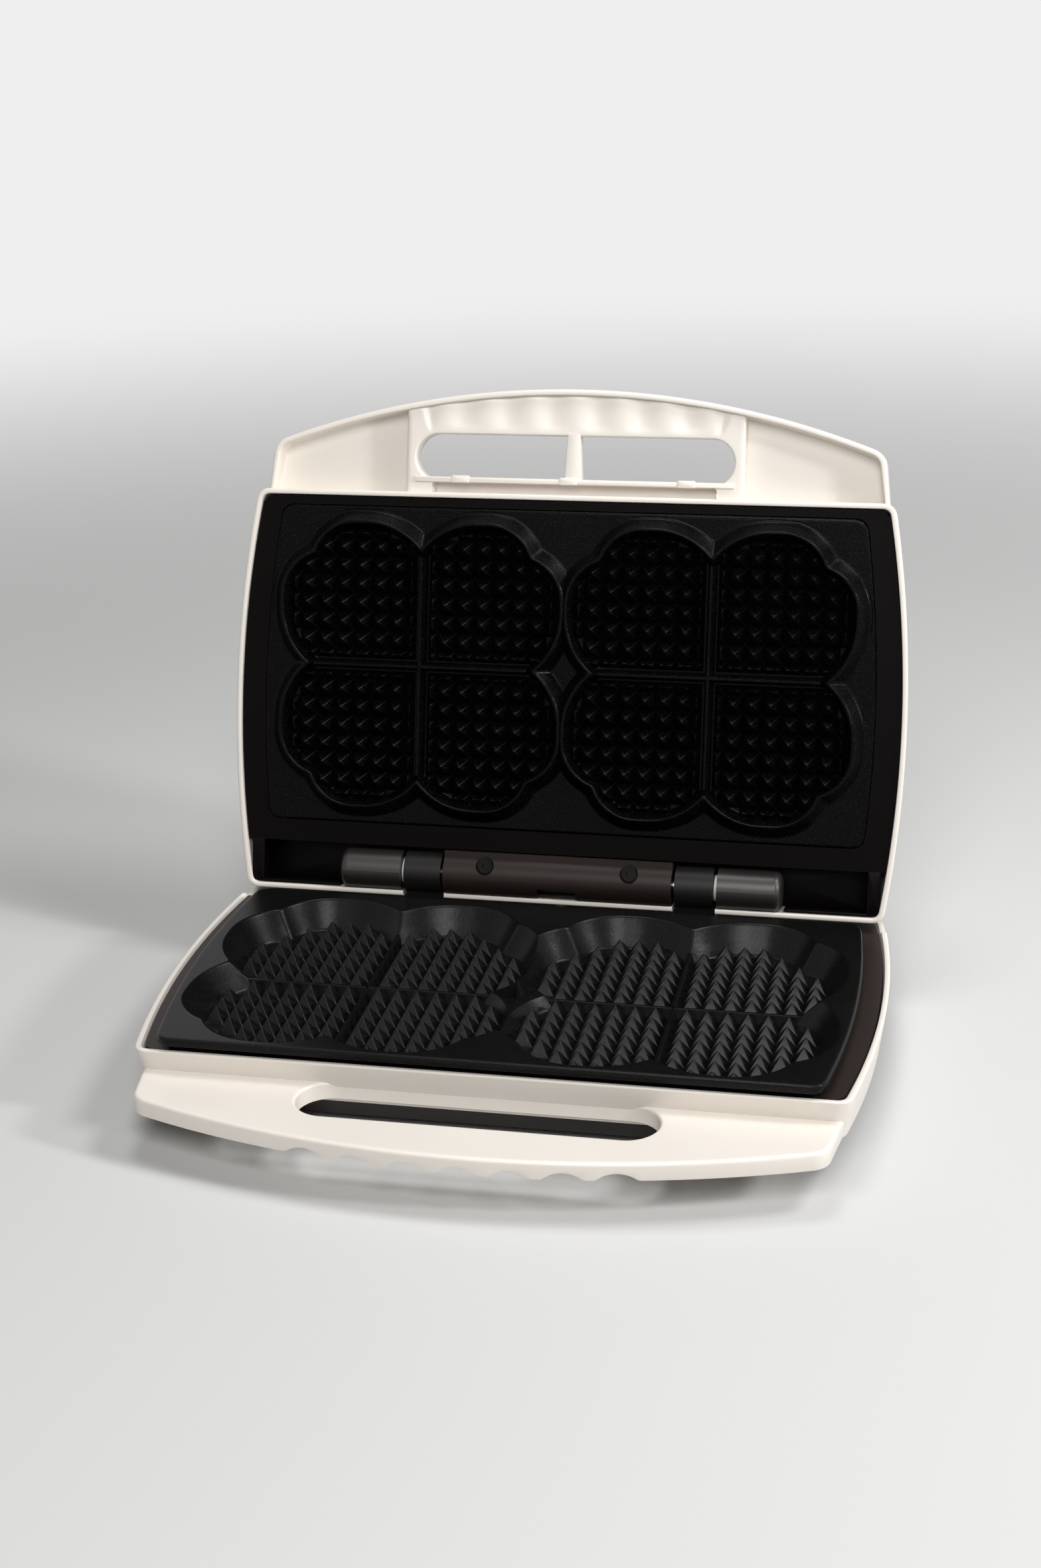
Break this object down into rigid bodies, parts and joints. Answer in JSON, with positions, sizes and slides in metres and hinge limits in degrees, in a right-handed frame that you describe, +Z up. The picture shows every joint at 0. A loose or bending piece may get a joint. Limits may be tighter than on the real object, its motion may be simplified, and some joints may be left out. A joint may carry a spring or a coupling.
{
  "type": "double waffle maker",
  "caption": "Open countertop waffle maker: shallow base and hinged lid with slotted handles, and two heart-rosette plates with pyramid teeth.",
  "frame": {"origin": "centre of the open machine's footprint, on the surface it stands on", "axes": "+X to the right seen from the handle side, +Y from the handle towards the hinge, +Z up"},
  "size_m": [0.31, 0.2894, 0.262],
  "materials": {
    "cream_plastic": "semi-gloss moulded, fine",
    "dark_plastic": "dark brown-black heat-resistant, satin",
    "black_plastic": "black, satin",
    "satin_black_plastic": "black, semi-gloss",
    "nonstick_base": "cast, black speckled non-stick",
    "nonstick_lid": "cast, black speckled non-stick",
    "rubber": "matt",
    "black_rubber": "matt",
    "heater_sheath": "annealed tube",
    "shield_sheet": "aluminised sheet",
    "zinc_sheet": "zinc plated",
    "zinc_screw": "zinc plated",
    "black_screw": "black oxide",
    "pin_steel": "turned",
    "brass": "turned",
    "ceramic": "steatite, glazed",
    "ceramic_white_plastic": "nylon",
    "washer_nylon": "nylon",
    "lead_insulation": "silicone insulation",
    "glass_sleeve": "braided glass fibre",
    "thermostat_body": "phenolic with steel cap",
    "red_lens": "moulded, clear tint",
    "green_lens": "moulded, clear tint",
    "lamp_glass": "clear"
  },
  "bodies": {
    "base": {"base_shell": "cream_plastic", "base_pan": "dark_plastic", "pan_screws": "zinc_screw", "rubber_feet": "rubber", "base_bezel": "dark_plastic", "base_plate": "nonstick_base", "base_heater": "heater_sheath", "base_heater_ends": "ceramic", "base_heater_clamps": "zinc_sheet", "base_heat_shield": "shield_sheet", "base_plate_screws": "zinc_screw", "thermal_fuse": "ceramic", "fuse_clip": "zinc_sheet", "terminal_block": "ceramic", "terminal_screws": "brass", "base_leads": "lead_insulation", "lead_sleeve": "glass_sleeve", "hinge_brackets": "black_plastic", "hinge_bracket_screws": "zinc_screw", "cord_gland": "black_rubber", "cord_clamp": "ceramic_white_plastic"},
    "lid": {"lid_shell": "cream_plastic", "lid_bezel": "dark_plastic", "lid_plate": "nonstick_lid", "lid_heater": "heater_sheath", "lid_heater_ends": "ceramic", "lid_heater_clamps": "zinc_sheet", "lid_heat_shield": "shield_sheet", "lid_plate_screws": "zinc_screw", "lid_shield_screws": "zinc_screw", "thermostat": "thermostat_body", "lid_leads": "lead_insulation", "hinge_barrels": "satin_black_plastic", "hinge_barrel_screws": "zinc_screw", "hinge_pins": "pin_steel", "hinge_washers": "washer_nylon", "hinge_cover": "dark_plastic", "hinge_saddle": "black_plastic", "hinge_cover_screws": "black_screw", "power_lens": "red_lens", "ready_lens": "green_lens", "indicator_lamps": "lamp_glass", "lamp_holder": "black_plastic"}
  },
  "joints": [
    {"name": "lid_hinge", "type": "hinge", "parent": "base", "child": "lid", "pos_m": [0, 0.07304, 0.0472], "axis": [1, 0, 0], "range_deg": [0, 105]}
  ]
}
